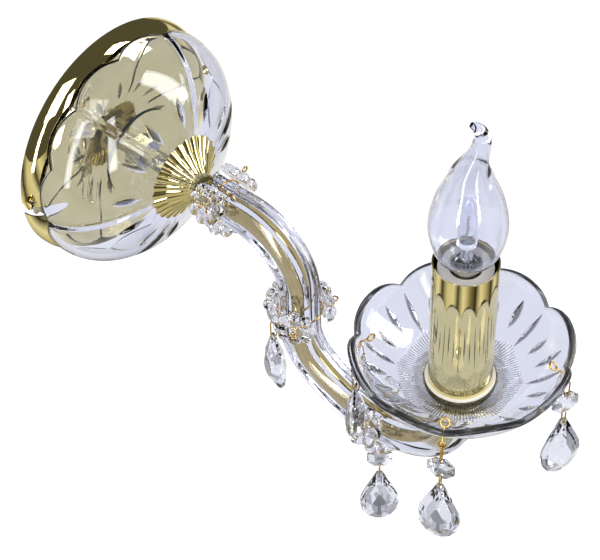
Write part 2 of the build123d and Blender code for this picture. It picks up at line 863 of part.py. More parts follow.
with BuildPart() as candle_sleeve:
    with BuildSketch(candle_base.offset(pad_top)):
        Circle(sleeve_r)
        Circle(sleeve_r - sheet, mode=Mode.SUBTRACT)
    extrude(amount=sleeve_top - pad_top)
candle_sleeve.part.label = "candle_sleeve"
export_step(candle_sleeve.part, "parts/candle_sleeve.step")

# Lampholder body: stem, cone and collar, hollow above and below a floor
holder_deck = holder_floor + holder_floor_thick
tail_x = (socket_r + shell_r) / 2 - shell_wall
with BuildPart() as holder_body:
    with BuildSketch(candle_side):
        with BuildLine():
            Polyline(
                (thread_r + slip, holder_foot),
                (holder_stem_r, holder_foot),
                (holder_stem_r, holder_neck),
                (holder_r, holder_shoulder),
                (holder_r, holder_top),
                (socket_r, holder_top),
                (socket_r, holder_deck),
                (0, holder_deck),
                (0, holder_floor),
                (chamber_r, holder_floor),
                (chamber_r, chamber_bottom),
                (thread_r + slip, chamber_bottom),
                close=True,
            )
        make_face()
    revolve(axis=candle_axis)
    with BuildSketch(candle_base.offset(holder_floor)):
        with Locations((-wire_side, 0)):
            Circle(rivet_r + slip)
        with Locations((tail_x, 0)):
            Rectangle(shell_wall * 4, tail_half + 2 * slip)
    extrude(amount=holder_floor_thick, mode=Mode.SUBTRACT)
holder_body.part.label = "holder_body"
export_step(holder_body.part, "parts/holder_body.step")

# Screw shell of the holder, its tail through the floor and its terminal
with BuildPart() as holder_shell:
    with BuildSketch(candle_base.offset(shell_bottom)):
        Circle(shell_r + shell_wall)
        Circle(shell_r, mode=Mode.SUBTRACT)
    extrude(amount=shell_top - shell_bottom)
    with BuildSketch(candle_base.offset(tail_bottom + tail_height)):
        with Locations((tail_x, 0)):
            Rectangle(shell_wall * 3, tail_half)
    extrude(amount=shell_bottom - tail_bottom - tail_height + shell_wall)
    with BuildSketch(candle_base.offset(tail_bottom)):
        with Locations((wire_gap / 5, 0)):
            Rectangle(
                tail_x + shell_wall - wire_gap / 5, 2 * tail_half, align=(Align.MIN, Align.CENTER)
            )
    extrude(amount=tail_height)
    with BuildSketch(candle_base.offset(tail_bottom)):
        with Locations((wire_side, 0)):
            Circle(wire_r + slip)
    extrude(amount=tail_height * 2 / 3, mode=Mode.SUBTRACT)
    with BuildSketch(candle_side):
        with Locations((wire_side, tail_screw_height)):
            Circle(tail_screw_r + slip / 2)
    extrude(amount=tail_half, mode=Mode.SUBTRACT)
holder_shell.part.label = "holder_shell"
export_step(holder_shell.part, "parts/holder_shell.step")

# Centre contact of the holder: a disc, a rivet through the floor and its terminal
with BuildPart() as holder_contact:
    with BuildSketch(candle_base.offset(holder_deck)):
        Circle(contact_r)
    extrude(amount=contact_thick)
    with BuildSketch(candle_base.offset(tail_bottom + tail_height)):
        with Locations((-wire_side, 0)):
            Circle(rivet_r)
    extrude(amount=holder_deck - tail_bottom - tail_height)
    with BuildSketch(candle_base.offset(tail_bottom)):
        with Locations((-wire_gap / 5, 0)):
            Rectangle(2 * wire_side + wire_gap, 2 * tail_half, align=(Align.MAX, Align.CENTER))
    extrude(amount=tail_height)
    with BuildSketch(candle_base.offset(tail_bottom)):
        with Locations((-wire_side, 0)):
            Circle(wire_r + slip)
    extrude(amount=tail_height * 2 / 3, mode=Mode.SUBTRACT)
    with BuildSketch(candle_side):
        with Locations((-wire_side, tail_screw_height)):
            Circle(tail_screw_r + slip / 2)
    extrude(amount=tail_half, mode=Mode.SUBTRACT)
holder_contact.part.label = "holder_contact"
export_step(holder_contact.part, "parts/holder_contact.step")

with BuildPart() as holder_screws:
    with BuildSketch(candle_side.offset(wire_r + slip / 2)):
        with Locations((-wire_side, tail_screw_height), (wire_side, tail_screw_height)):
            Circle(tail_screw_r)
    extrude(amount=tail_half - wire_r)
    with BuildSketch(candle_side.offset(tail_half + slip / 2)):
        with Locations((-wire_side, tail_screw_height), (wire_side, tail_screw_height)):
            Circle(tail_screw_r * 1.5)
    extrude(amount=tail_screw_r * 1.5)
holder_screws.part.label = "holder_screws"
export_step(holder_screws.part, "parts/holder_screws.step")

# Bulb glass: a turned candle shape, then a tail of round sections that leans out and curls back.
# Each row of the tail is height, sideways offset and radius; it leans toward tail_azimuth.
tail_azimuth = -49.4
tail_rows = (
    (bulb_shoulder, 0.0, bulb_shoulder_r),
    (112.0, 1.0, 7.0),
    (120.0, 3.0, 4.6),
    (127.0, 3.9, 3.7),
    (132.5, 2.2, 2.6),
    (135.0, -0.9, 1.3),
)


def bulb_turned(inset):
    """Turned part of the bulb's glass, moved inward by inset."""
    low = bulb_cap_top - 2
    with BuildPart() as turned:
        with BuildSketch(candle_side):
            with BuildLine():
                Line((0, low), (bulb_neck_r - inset, low))
                neck = Line((bulb_neck_r - inset, low), (bulb_neck_r - inset, bulb_cap_top + slip))
                side = Spline(
                    neck @ 1,
                    (bulb_neck_r + 5.2 - inset, bulb_cap_top + 5),
                    (bulb_r - 1.6 - inset, bulb_widest - 11),
                    (bulb_r - inset, bulb_widest),
                    (bulb_r - 2.1 - inset, bulb_widest + 13),
                    (bulb_shoulder_r - inset, bulb_shoulder),
                    tangents=[(0, 1), (-0.42, 1)],
                )
                Line(side @ 1, (0, bulb_shoulder))
                Line((0, bulb_shoulder), (0, low))
            make_face()
        revolve(axis=candle_axis)
    return turned.part


def bulb_tail(rows, inset):
    """Tail of the bulb's glass as a smooth loft of circles square to its bent middle line."""
    slices = []
    for k, (height, offset, radius) in enumerate(rows):
        before = rows[max(k - 1, 0)]
        after = rows[min(k + 1, len(rows) - 1)]
        lean = after[1] - before[1] if k else 0.0
        heading = plan(tail_azimuth) * lean + Vector(0, 0, after[0] - before[0])
        centre = Vector(0, -reach, height) + plan(tail_azimuth) * offset
        with BuildSketch(Plane(centre, x_dir=plan(tail_azimuth + 90), z_dir=heading)) as ring:
            Circle(radius - inset)
        slices.append(ring.sketch)
    with BuildPart() as tail:
        loft(sections=slices)
    return tail.part


with BuildPart() as bulb_glass:
    add(bulb_turned(0))
    add(bulb_tail(tail_rows, 0))
    add(bulb_turned(bulb_wall), mode=Mode.SUBTRACT)
    add(bulb_tail(tail_rows[:4], bulb_wall), mode=Mode.SUBTRACT)
bulb_glass.part.label = "bulb_glass"
export_step(bulb_glass.part, "parts/bulb_glass.step")

# Screw cap of the bulb, its insulator and its contact
with BuildPart() as bulb_cap:
    with BuildSketch(candle_side):
        with BuildLine():
            Polyline(
                (bulb_cap_r - shell_wall, bulb_cap_bottom),
                (bulb_cap_r, bulb_cap_bottom),
                (bulb_cap_r, bulb_cap_top),
                (bulb_neck_r + slip / 2, bulb_cap_top),
                (bulb_neck_r + slip / 2, bulb_cap_bottom + 1),
                (bulb_cap_r - shell_wall, bulb_cap_bottom + 1),
                close=True,
            )
        make_face()
    revolve(axis=candle_axis)
bulb_cap.part.label = "bulb_cap"
export_step(bulb_cap.part, "parts/bulb_cap.step")

with BuildPart() as bulb_insulator:
    with BuildSketch(candle_side):
        with BuildLine():
            Polyline(
                (0, bulb_insulator_bottom),
                (bulb_contact_r, bulb_insulator_bottom),
                (bulb_cap_r - shell_wall, bulb_cap_bottom),
                (bulb_cap_r - shell_wall - slip, bulb_cap_bottom + 1),
                (0, bulb_cap_bottom + 1),
                close=True,
            )
        make_face()
    revolve(axis=candle_axis)
bulb_insulator.part.label = "bulb_insulator"
export_step(bulb_insulator.part, "parts/bulb_insulator.step")

bulb_contact_bottom = holder_deck + contact_thick + bulb_contact_gap
with BuildPart() as bulb_contact:
    with BuildSketch(candle_base.offset(bulb_contact_bottom)):
        Circle(bulb_contact_r - bulb_contact_gap)
    extrude(amount=bulb_insulator_bottom - bulb_contact_bottom)
bulb_contact.part.label = "bulb_contact"
export_step(bulb_contact.part, "parts/bulb_contact.step")

# Inside the bulb: mount with two leads, a closed quartz capsule and its filament
lead_r = 0.5
lead_side = capsule_r - 2 * lead_r
stem_r = 3.0
stem_top = capsule_bottom - 8.0
filament_r = 0.8
with BuildPart() as bulb_mount:
    with BuildSketch(candle_base.offset(bulb_cap_bottom + 1)):
        Circle(stem_r)
    extrude(amount=stem_top - bulb_cap_bottom - 1)
    with BuildSketch(candle_base.offset(stem_top)):
        with GridLocations(2 * (stem_r - 2 * lead_r), 0, 2, 1):
            Circle(lead_r)
    extrude(amount=capsule_bottom - stem_top - 2 * lead_r)
    with BuildSketch(candle_base.offset(capsule_bottom - 4 * lead_r)):
        Rectangle(2 * stem_r, 4 * lead_r)
    extrude(amount=4 * lead_r - slip)
bulb_mount.part.label = "bulb_mount"
export_step(bulb_mount.part, "parts/bulb_mount.step")

with BuildPart() as halogen_capsule:
    with BuildSketch(candle_side):
        with BuildLine():
            Line((0, capsule_bottom), (capsule_r, capsule_bottom))
            Line((capsule_r, capsule_bottom), (capsule_r, capsule_top - capsule_r))
            CenterArc((0, capsule_top - capsule_r), capsule_r, 0, 90)
            Line((0, capsule_top), (0, capsule_bottom))
        make_face()
        with BuildLine():
            hollow_r = capsule_r - capsule_wall
            hollow_low = capsule_bottom + 3 * capsule_wall
            Line((0, hollow_low), (hollow_r, hollow_low))
            Line((hollow_r, hollow_low), (hollow_r, capsule_top - capsule_r))
            CenterArc((0, capsule_top - capsule_r), hollow_r, 0, 90)
            Line((0, capsule_top - capsule_wall), (0, hollow_low))
        make_face(mode=Mode.SUBTRACT)
    revolve(axis=candle_axis)
halogen_capsule.part.label = "halogen_capsule"
export_step(halogen_capsule.part, "parts/halogen_capsule.step")

with BuildPart() as filament:
    with BuildSketch(candle_base.offset(hollow_low)):
        Circle(filament_r)
    extrude(amount=(capsule_top - capsule_bottom) / 2)
filament.part.label = "filament"
export_step(filament.part, "parts/filament.step")

# Wires: from the supply terminals through the arm to the lampholder, one each side
pole_entry = block_bottom + 6
for name, side in (("live_wire", -1), ("neutral_wire", 1)):
    far_x = side * pole_spacing / 2
    near_x = side * wire_side
    feed = nipple_back + slip
    with BuildLine() as tail_line:
        FilletPolyline(
            (far_x, -pole_depth, pole_entry),
            (far_x, -pole_depth, block_bottom - 3),
            (near_x, -pole_depth, block_bottom - 12),
            (near_x, -pole_depth, 0),
            (near_x, -feed, 0),
            radius=(3 * wire_bend, 3 * wire_bend, wire_bend),
        )
    route = Wire(tail_line.line.edges() + arm_line(feed, wire_top, near_x).edges())
    with BuildPart() as wire:
        with BuildSketch(Plane((far_x, -pole_depth, pole_entry), z_dir=(0, 0, -1))) as core:
            Circle(wire_r)
        sweep(sections=core.sketch, path=route)
    wire.part.label = name
    export_step(wire.part, f"parts/{name}.step")

# Earth wire: from under the earth screw to the washer in the canopy
earth_side = earth_z - earth_r - slip - earth_wire_r
earth_end = washer_front - slip - washer_thick
with BuildPart() as earth_wire:
    with BuildLine() as earth_line:
        FilletPolyline(
            (earth_x - 2 * earth_r, -earth_wire_level, earth_side),
            (earth_x + 5 * earth_r, -earth_wire_level, earth_side),
            (earth_x + 5 * earth_r, -earth_end + slip, -nut_corner_r - 1.6),
            radius=(wire_bend,),
        )
    with BuildSketch(Plane(earth_line.line @ 0, z_dir=(1, 0, 0))):
        Circle(earth_wire_r)
    sweep(path=earth_line.line)
earth_wire.part.label = "earth_wire"
export_step(earth_wire.part, "parts/earth_wire.step")

# Pendants. Each row is the eye's centre, the azimuths of the upper link and of the crystals' faces,
# how far the octagon's middle hangs below the eye and the pitch of the lower link.
eyes = [pin_line(azimuth)[0] - up * eye_r for azimuth in pin_azimuths]
rear, left, fore, right = pin_azimuths
fore_turn = 8.0
right_turn = 56.0
right_link_turn = 38.0
low_face = 222.0
low_link = 214.0
mid_face = 160.0
mid_link = 170.0
pendants = {
    "rear": (eyes[0], rear, rear, dish_pendant_drop, link_pitch),
    "left": (eyes[1], left, left, dish_pendant_drop, link_pitch),
    "front": (eyes[2], fore - fore_turn / 2, fore - fore_turn, dish_pendant_drop, link_pitch),
    "right": (eyes[3], right - right_link_turn, right - right_turn, dish_pendant_drop, link_pitch),
    "mid": (clusters["mid"][2], mid_link, mid_face, mid_pendant_drop, mid_link_pitch),
    "low": (clusters["low"][2], low_link, low_face, low_pendant_drop, link_pitch),
}
eight = [polar(octagon_r, 22.5 + 45 * k) for k in range(8)]
table = octagon_table_r / octagon_r
octagon_levels = (
    (-octagon_thick / 2, table),
    (-octagon_girdle / 2, 1),
    (octagon_girdle / 2, 1),
    (octagon_thick / 2, table),
)
drop_levels = (
    (-drop_thick / 2, drop_table_scale),
    (-drop_mid_thick / 2, drop_mid_scale),
    (-drop_girdle / 2, 1),
    (drop_girdle / 2, 1),
    (drop_mid_thick / 2, drop_mid_scale),
    (drop_thick / 2, drop_table_scale),
)
link_lift = link_half_width - sqrt(link_half_width**2 - (octagon_thick / 4) ** 2)
wire_rest = crystal_hole_r - link_r - link_lift - slip / 2
drop_rest = crystal_hole_r - link_r - link_lift - hang_gap
eye_rest = eye_r - floret_wire_r - link_r - hang_gap
for name, (eye, link_azimuth, face_azimuth, drop, pitch) in pendants.items():
    normal = plan(face_azimuth)
    middle = eye - up * drop
    upper_hole = middle + up * octagon_hole
    lower_hole = middle - up * octagon_hole
    drop_hole_at = lower_hole - up * pitch
    round_centre = drop_hole_at - up * (drop_height * drop_widest - drop_hole)
    with BuildPart() as pendant_wires:
        add(racetrack(eye - up * eye_rest, upper_hole + up * wire_rest, link_azimuth))
        add(racetrack(lower_hole - up * wire_rest, drop_hole_at + up * drop_rest, face_azimuth))
    pendant_wires.part.label = f"{name}_pendant_links"
    export_step(pendant_wires.part, f"parts/{name}_pendant_links.step")
    face = Plane(middle, x_dir=plan(face_azimuth + 90), z_dir=normal)
    octagon = bored(faceted(face, eight, octagon_levels), upper_hole, normal)
    octagon = bored(octagon, lower_hole, normal)
    octagon.label = f"{name}_octagon"
    export_step(octagon, f"parts/{name}_octagon.step")
    face = Plane(round_centre, x_dir=plan(face_azimuth + 90), z_dir=normal)
    pear = bored(faceted(face, pear_outline(), drop_levels), drop_hole_at, normal)
    pear.label = f"{name}_drop"
    export_step(pear, f"parts/{name}_drop.step")
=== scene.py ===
import json

import bpy
import numpy as np
from mathutils import Matrix


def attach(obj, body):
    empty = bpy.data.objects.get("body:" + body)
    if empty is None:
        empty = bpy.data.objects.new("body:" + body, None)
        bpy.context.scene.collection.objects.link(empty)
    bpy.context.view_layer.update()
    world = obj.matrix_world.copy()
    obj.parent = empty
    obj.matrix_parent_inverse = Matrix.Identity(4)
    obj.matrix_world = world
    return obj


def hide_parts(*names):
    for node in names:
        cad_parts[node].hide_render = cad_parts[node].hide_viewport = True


# Looks of a crystal wall sconce. Lengths are in mm until a mesh is made, and then in metres, and
# angles are in degrees. The wall is Y = 0, the candle stands on the line X = 0, Y = -REACH, and +Z
# is up.
MM = 0.001
REACH = 220.0

# Glass dish, as in the CAD part: a superellipse of a width and a depth, outside and inside, round
# a flat floor, with an arched rim. DISH_SHARE is the exponent on cos and sin.
DISH_CENTRE_R = 22.0
DISH_RIM = 0.5
DISH_NOTCH = 6.0
DISH_LOBES = 8
DISH_NOTCH_ANGLE = 27.7
DISH_SHARE = 2 / 1.5
DISH_OUTER = (30.0, 26.0)
DISH_INNER = (26.5, 22.5)
DISH_CHORD_R = DISH_CENTRE_R + (DISH_OUTER[0] + DISH_INNER[0]) / 2
DISH_HOLE_R = 5.2

# Rays in the dish's floor, from the pad under the cap out to an octagon, and how dark the painted
# shade in their grooves reads
DISH_PAD_R = 16.6
RIB_COUNT = 118
RIB_DEPTH = 0.7
RIB_CORNER_R = 29.5
RIB_SHADE = 0.5

# Glass bowl on the wall: half an ellipse, outside and inside, with an arched rim and a crease at
# every other notch, which starts at a radius and deepens over a fade
BOWL_RIM = 12.0
BOWL_OUTER = (62.4, 39.0)
BOWL_INNER = (58.9, 35.5)
BOWL_NOTCH = 4.3
BOWL_LOBES = 12
BOWL_NOTCH_ANGLE = 64.7
BOWL_CHORD_R = (BOWL_OUTER[0] + BOWL_INNER[0]) / 2
BOWL_BORE_R = 5.3
CREASE_WIDTH = 2.4
CREASE_DEPTH = 1.1
CREASE_START_R = 24.0
CREASE_FADE = 12.0

# Ground lip of both glasses: its rise as a share of its half width, and its rows
LIP_RISE = 0.45
LIP_ROWS = 7

# Almond cuts: angle, radius of the middle, half length and half width. In the dish a cut goes in
# and up alike, by CUT_SLOPE of its depth. The glass is darkened in a cut with painted shade, and
# CUT_SHADE makes it reach near its edge.
CUT_DEPTH = 1.3
CUT_SLOPE = 0.7
CUT_SHADE = 2
DISH_CUTS = ((0.0, 39.5, 8.0, 1.7), (15.0, 41.5, 5.5, 2.3), (30.0, 39.0, 4.5, 1.9))
BOWL_CUTS = ((15.0, 36.0, 6.0, 2.2), (45.0, 36.0, 6.0, 2.2))

# Filament: foot, radius of the coil and of its wire, rise per turn, and points per turn and round
COIL_FOOT_Z = 70.5
COIL_R = 0.62
COIL_WIRE_R = 0.14
COIL_PITCH = 0.55
COIL_TURNS = 22
COIL_STEPS = 14
COIL_SIDES = 6

# Grid sizes of the dish and the bowl
DISH_COLUMNS = RIB_COUNT * 8
DISH_WALL_ROWS = 44
DISH_WALL_CROWDING = 0.9
DISH_UNDER_ROWS = 7
DISH_FLOOR_ROWS = 13
BOWL_COLUMNS = 720
BOWL_ROWS = 60

# Surfaces: heights of the bumps in metres, width of the wiping marks, roughness of a ground lip
SHEET_WAVE = 0.00003
MOULDED_BUMP = 0.00002
MOULDED_MM = 0.8
WIPE_MM = 1.5
GROUND_ROUGH = 0.32
# Painted shade: the dark colour painted into the glass at its cuts and ribs
CUT_PAINTED_SHADE = "4A4B52"

# Painted shade on some faces of a crystal: scale of the noise, the stretch of it where the painted
# shade sets in, and its colour
FACET_SCALE = 3.4
FACET_FROM = 0.55
FACET_TO = 0.59
FACET_PAINTED_SHADE = "3C3D42"

# Camera: place in mm and its right, up and back directions
CAMERA_AT = (-487.3, -562.7, 685.6)
CAMERA_RIGHT = (0.6502, -0.7594, -0.0242)
CAMERA_UP = (0.5684, 0.4650, 0.6787)
CAMERA_BACK = (-0.5041, -0.4550, 0.7340)
LENS = 119.98

# Studio: height of the floor in mm and half its side in metres, and the soft lamps: place in mm,
# width and height in metres, and power in watts
FLOOR = -200.0
FLOOR_HALF = 6.0
LAMP_AIM = (0.0, -150.0, -20.0)
LAMPS = (
    ("key", (-900, -500, 1300), 1.1, 1.1, 13.0),
    ("left_strip", (-900, -300, 250), 0.16, 1.3, 4.4),
    ("front_strip", (-450, -1300, 350), 0.20, 1.3, 6.5),
    ("right_strip", (800, -900, 500), 0.34, 1.2, 9.0),
)

# Painted reflections: bright and dark sectors round the candle that the floor shows to gloss alone:
# turn and colour
PAINTED_REFLECTION_BANDS = (
    (0.04, "3A3526"),
    (0.09, "FFF9E6"),
    (0.15, "8E876C"),
    (0.20, "2A2618"),
    (0.25, "FFF8E2"),
    (0.31, "B7AF92"),
    (0.36, "2C281B"),
    (0.41, "FFFAE8"),
    (0.47, "746D54"),
    (0.52, "FFF7DF"),
    (0.57, "2A2618"),
    (0.62, "F8F0D6"),
    (0.68, "FFF9E6"),
    (0.73, "332E20"),
    (0.78, "C9C0A2"),
    (0.83, "FFFAE8"),
    (0.88, "2C281B"),
    (0.94, "E9E1C8"),
)


def rgb(code, alpha=1.0):
    """Linear colour of an sRGB hex code."""
    srgb = np.array([int(code[i : i + 2], 16) / 255 for i in (0, 2, 4)])
    linear = np.where(srgb <= 0.04045, srgb / 12.92, ((srgb + 0.055) / 1.055) ** 2.4)
    return (*linear.tolist(), alpha)


def node(tree, kind, **inputs):
    """Adds a node; each keyword is a property, or an input by name with _ for a space."""
    made = tree.nodes.new(kind)
    for name, value in inputs.items():
        if hasattr(made, name):
            setattr(made, name, value)
            continue
        socket = made.inputs[int(name[1:]) if name[1:].isdigit() else name.replace("_", " ")]
        if isinstance(value, bpy.types.NodeSocket):
            tree.links.new(value, socket)
        else:
            socket.default_value = value
    return made


def material(name):
    """A new empty node material and its output node."""
    made = bpy.data.materials.new(name)
    made.use_nodes = True
    made.node_tree.nodes.clear()
    return made, made.node_tree, made.node_tree.nodes.new("ShaderNodeOutputMaterial")


def grain(tree, scale_mm, detail=2.0):
    """Noise in object space whose cells are scale_mm wide."""
    where = node(tree, "ShaderNodeTexCoord").outputs["Object"]
    return node(tree, "ShaderNodeTexNoise", Vector=where, Scale=1 / (scale_mm * MM), Detail=detail)


def metal(name, code, worn, rough, wave_mm=9.0):
    """Polished metal: a slight wave in the sheet, which also mixes in the worn colour, and faint
    wiping marks in its gloss, drawn wider than real ones so that they show."""
    made, tree, out = material(name)
    wavy = grain(tree, wave_mm)
    wiped = grain(tree, WIPE_MM, 4.0)
    gloss = node(
        tree,
        "ShaderNodeMapRange",
        Value=wiped.outputs["Fac"],
        From_Min=0.35,
        From_Max=0.75,
        To_Min=rough * 0.7,
        To_Max=rough * 1.6,
    )
    tint = node(
        tree,
        "ShaderNodeMix",
        data_type="RGBA",
        i0=wavy.outputs["Fac"],
        i6=rgb(code),
        i7=rgb(worn),
    )
    bump = node(
        tree, "ShaderNodeBump", Height=wavy.outputs["Fac"], Distance=SHEET_WAVE, Strength=1.0
    )
    skin = node(
        tree,
        "ShaderNodeBsdfPrincipled",
        Base_Color=tint.outputs[2],
        Metallic=1.0,
        Roughness=gloss.outputs[0],
        Normal=bump.outputs[0],
    )
    tree.links.new(skin.outputs[0], out.inputs[0])
    return made


def plastic(name, code, rough):
    """Moulded plastic or rubber with a fine uneven surface."""
    made, tree, out = material(name)
    fine = grain(tree, MOULDED_MM, 3.0)
    bump = node(
        tree, "ShaderNodeBump", Height=fine.outputs["Fac"], Distance=MOULDED_BUMP, Strength=0.6
    )
    skin = node(
        tree,
        "ShaderNodeBsdfPrincipled",
        Base_Color=rgb(code),
        Roughness=rough,
        Normal=bump.outputs[0],
    )
    tree.links.new(skin.outputs[0], out.inputs[0])
    return made


def glass(name, code, ripple_mm=12.0, ripple=0.00002, shade="B9BCCB", painted_facet_shade=0.0):
    """Clear glass with a faint ripple. The attribute cut paints shade into the cut faces and ground
    roughens a lip. Light passes through to the floor, tinted by shade. The last argument is how
    dark the painted shade on some faces of a crystal is, picked by the way a face points in the
    world."""
    made, tree, out = material(name)
    wavy = grain(tree, ripple_mm)
    bump = node(tree, "ShaderNodeBump", Height=wavy.outputs["Fac"], Distance=ripple, Strength=1.0)
    # Painted shade: the cut attribute mixes a dark colour into the glass at cuts and ribs
    cut = node(tree, "ShaderNodeAttribute", attribute_name="cut")
    tint = node(
        tree,
        "ShaderNodeMix",
        data_type="RGBA",
        i0=cut.outputs["Fac"],
        i6=rgb(code),
        i7=rgb(CUT_PAINTED_SHADE),
    )
    # Painted shade on some faces: a noise of the way each face points in the world picks them
    turned = node(tree, "ShaderNodeNewGeometry").outputs["True Normal"]
    chance = node(tree, "ShaderNodeTexNoise", Vector=turned, Scale=FACET_SCALE, Detail=0.0)
    painted_facet_darkness = node(
        tree,
        "ShaderNodeMapRange",
        Value=chance.outputs["Fac"],
        From_Min=FACET_FROM,
        From_Max=FACET_TO,
        To_Min=0.0,
        To_Max=painted_facet_shade,
    )
    tint = node(
        tree,
        "ShaderNodeMix",
        data_type="RGBA",
        i0=painted_facet_darkness.outputs[0],
        i6=tint.outputs[2],
        i7=rgb(FACET_PAINTED_SHADE),
    )
    ground = node(tree, "ShaderNodeAttribute", attribute_name="ground")
    matt = node(
        tree,
        "ShaderNodeMath",
        operation="MULTIPLY",
        i0=ground.outputs["Fac"],
        i1=GROUND_ROUGH,
    )
    body = node(
        tree,
        "ShaderNodeBsdfPrincipled",
        Base_Color=tint.outputs[2],
        Roughness=matt.outputs[0],
        IOR=1.5,
        Transmission_Weight=1.0,
        Normal=bump.outputs[0],
    )
    clear = node(tree, "ShaderNodeBsdfTransparent", Color=rgb(shade))
    path = node(tree, "ShaderNodeLightPath")
    both = node(
        tree,
        "ShaderNodeMixShader",
        i0=path.outputs["Is Shadow Ray"],
        i1=body.outputs[0],
        i2=clear.outputs[0],
    )
    tree.links.new(both.outputs[0], out.inputs[0])
    return made


def put(name, data):
    """A new object of the data, linked into the scene."""
    made = bpy.data.objects.new(name, data)
    bpy.context.scene.collection.objects.link(made)
    return made


def smooth_piece(name, points, faces):
    """A smooth-shaded object at the origin, from points in mm and a list of faces."""
    mesh = bpy.data.meshes.new(name)
    mesh.from_pydata((points.reshape(-1, 3) * MM).tolist(), [], faces)
    mesh.shade_smooth()
    return put(name, mesh)


def torus_piece(name, points, cut, ground):
    """Piece of a grid of points (columns, rows, 3) in mm that closes on itself both ways, with
    its cut and ground values as attributes. The cut values are painted shade for the glass."""
    columns, rows = points.shape[:2]
    index = np.arange(columns * rows).reshape(columns, rows)
    right = np.roll(index, -1, axis=0)
    faces = np.stack(
        [index, right, np.roll(right, -1, axis=1), np.roll(index, -1, axis=1)], axis=-1
    ).reshape(-1, 4)
    made = smooth_piece(name, points, faces.tolist())
    for label, values in (("cut", cut), ("ground", ground)):
        field = made.data.attributes.new(label, "FLOAT", "POINT")
        field.data.foreach_set("value", np.ascontiguousarray(values, dtype=np.float32).ravel())
    return made


def arch(angle, lobes, first, chord_r, notch):
    """Depth of an arched rim under its crests at angles in degrees, a circle over each lobe:
    depth = R - sqrt(R^2 - x^2), with x the sideways distance from the crest."""
    step = 360 / lobes
    half = chord_r * np.sin(np.radians(step / 2))
    radius = (half**2 + notch**2) / (2 * notch)
    x = chord_r * np.sin(np.radians((angle - first) % step - step / 2))
    return radius - np.sqrt(radius**2 - x**2)


def almond(angle, radius, cuts, step, first):
    """Strength 0 to 1 of almond-shaped cuts repeated every step degrees. A cut is its angle, the
    radius of its middle, its half length l and its half width w. With x across it and y along it,
    its V is 1 - |x| / (w (1 - (y / l)^2))."""
    best = np.zeros_like(radius)
    for turn, middle, length, width in cuts:
        x = np.radians((angle - first - turn + step / 2) % step - step / 2) * radius
        y = (radius - middle) / length
        room = width * np.clip(1 - y**2, 1e-6, None)
        best = np.maximum(best, np.where(np.abs(y) < 1, np.clip(1 - np.abs(x) / room, 0, 1), 0))
    return best


def rounded_lip(outer, inner):
    """Half an ellipse over a rim from its outer to its inner radius: radii, and rise above the
    edge."""
    swing = np.linspace(0, np.pi, LIP_ROWS)[1:-1]
    middle = (outer + inner)[:, None] / 2
    half = (outer - inner)[:, None] / 2
    return middle + half * np.cos(swing), LIP_RISE * half * np.sin(swing)


def glass_dish():
    """The dish as one closed grid. Across: azimuth. Along: bore, flat underside, outer
    superellipse r = c + a cos(t)^s, z = rim - b sin(t)^s up to the arched rim, a rounded lip and
    back down the inside. Fine radial ribs lie in the floor, out to an octagon."""
    lobe = 360 / DISH_LOBES
    azimuth = np.arange(DISH_COLUMNS) * 360 / DISH_COLUMNS
    drop = arch(azimuth, DISH_LOBES, DISH_NOTCH_ANGLE, DISH_CHORD_R, DISH_NOTCH)

    def wall(shape, rows):
        """Radii and heights of one side, from the rim (row 0) down to the floor (row 1)."""
        width, depth = shape
        low = np.arcsin(np.clip(drop / depth, 0, 1) ** (1 / DISH_SHARE))
        turn = low[:, None] + (np.pi / 2 - low)[:, None] * rows[None, :]
        radius = DISH_CENTRE_R + width * np.clip(np.cos(turn), 0, None) ** DISH_SHARE
        return radius, DISH_RIM - depth * np.sin(turn) ** DISH_SHARE

    rows = np.linspace(0, 1, DISH_WALL_ROWS) ** DISH_WALL_CROWDING
    outer_r, outer_z = wall(DISH_OUTER, rows[::-1])
    inner_r, inner_z = wall(DISH_INNER, rows)
    under_line = np.linspace(DISH_HOLE_R, DISH_CENTRE_R, DISH_UNDER_ROWS)[:-1]
    under_r = np.repeat(under_line[None], DISH_COLUMNS, axis=0)
    floor_line = np.linspace(DISH_CENTRE_R, DISH_HOLE_R, DISH_FLOOR_ROWS)[1:]
    floor_r = np.repeat(floor_line[None], DISH_COLUMNS, axis=0)
    lip_r, rise = rounded_lip(outer_r[:, -1], inner_r[:, 0])
    lip_z = outer_z[:, -1:] + rise
    bottom = DISH_RIM - DISH_OUTER[1]
    top = DISH_RIM - DISH_INNER[1]
    radius = np.concatenate([under_r, outer_r, lip_r, inner_r, floor_r], axis=1)
    height = np.concatenate(
        [np.full_like(under_r, bottom), outer_z, lip_z, inner_z, np.full_like(floor_r, top)],
        axis=1,
    )
    angle = np.repeat(azimuth[:, None], radius.shape[1], axis=1)
    outside = under_r.shape[1] + outer_r.shape[1]
    inside = outside + lip_r.shape[1]
    corner = (angle - DISH_NOTCH_ANGLE) % lobe - lobe / 2
    octagon = RIB_CORNER_R * np.cos(np.radians(lobe / 2)) / np.cos(np.radians(corner))
    ribbed = (radius > DISH_PAD_R) & (radius < octagon)
    ribbed[:, :inside] = False
    wave = (0.5 - 0.5 * np.cos(np.radians(angle) * RIB_COUNT)) * ribbed
    height = height - RIB_DEPTH * wave
    cut = almond(angle, radius, DISH_CUTS, lobe, DISH_NOTCH_ANGLE)
    cut[:, outside:] = 0
    cut[:, : under_r.shape[1]] = 0
    radius = radius - CUT_DEPTH * cut * CUT_SLOPE
    height = height + CUT_DEPTH * cut * CUT_SLOPE
    # Painted shade: the rib grooves get it as well as the cuts
    cut = np.maximum(cut, RIB_SHADE * wave**3)
    way = np.radians(angle)
    points = np.stack([radius * np.cos(way), radius * np.sin(way) - REACH, height], axis=-1)
    ground = np.zeros_like(cut)
    ground[:, outside : inside + 1] = 1
    return torus_piece("glass_dish", points, np.minimum(cut * CUT_SHADE, 1), ground)


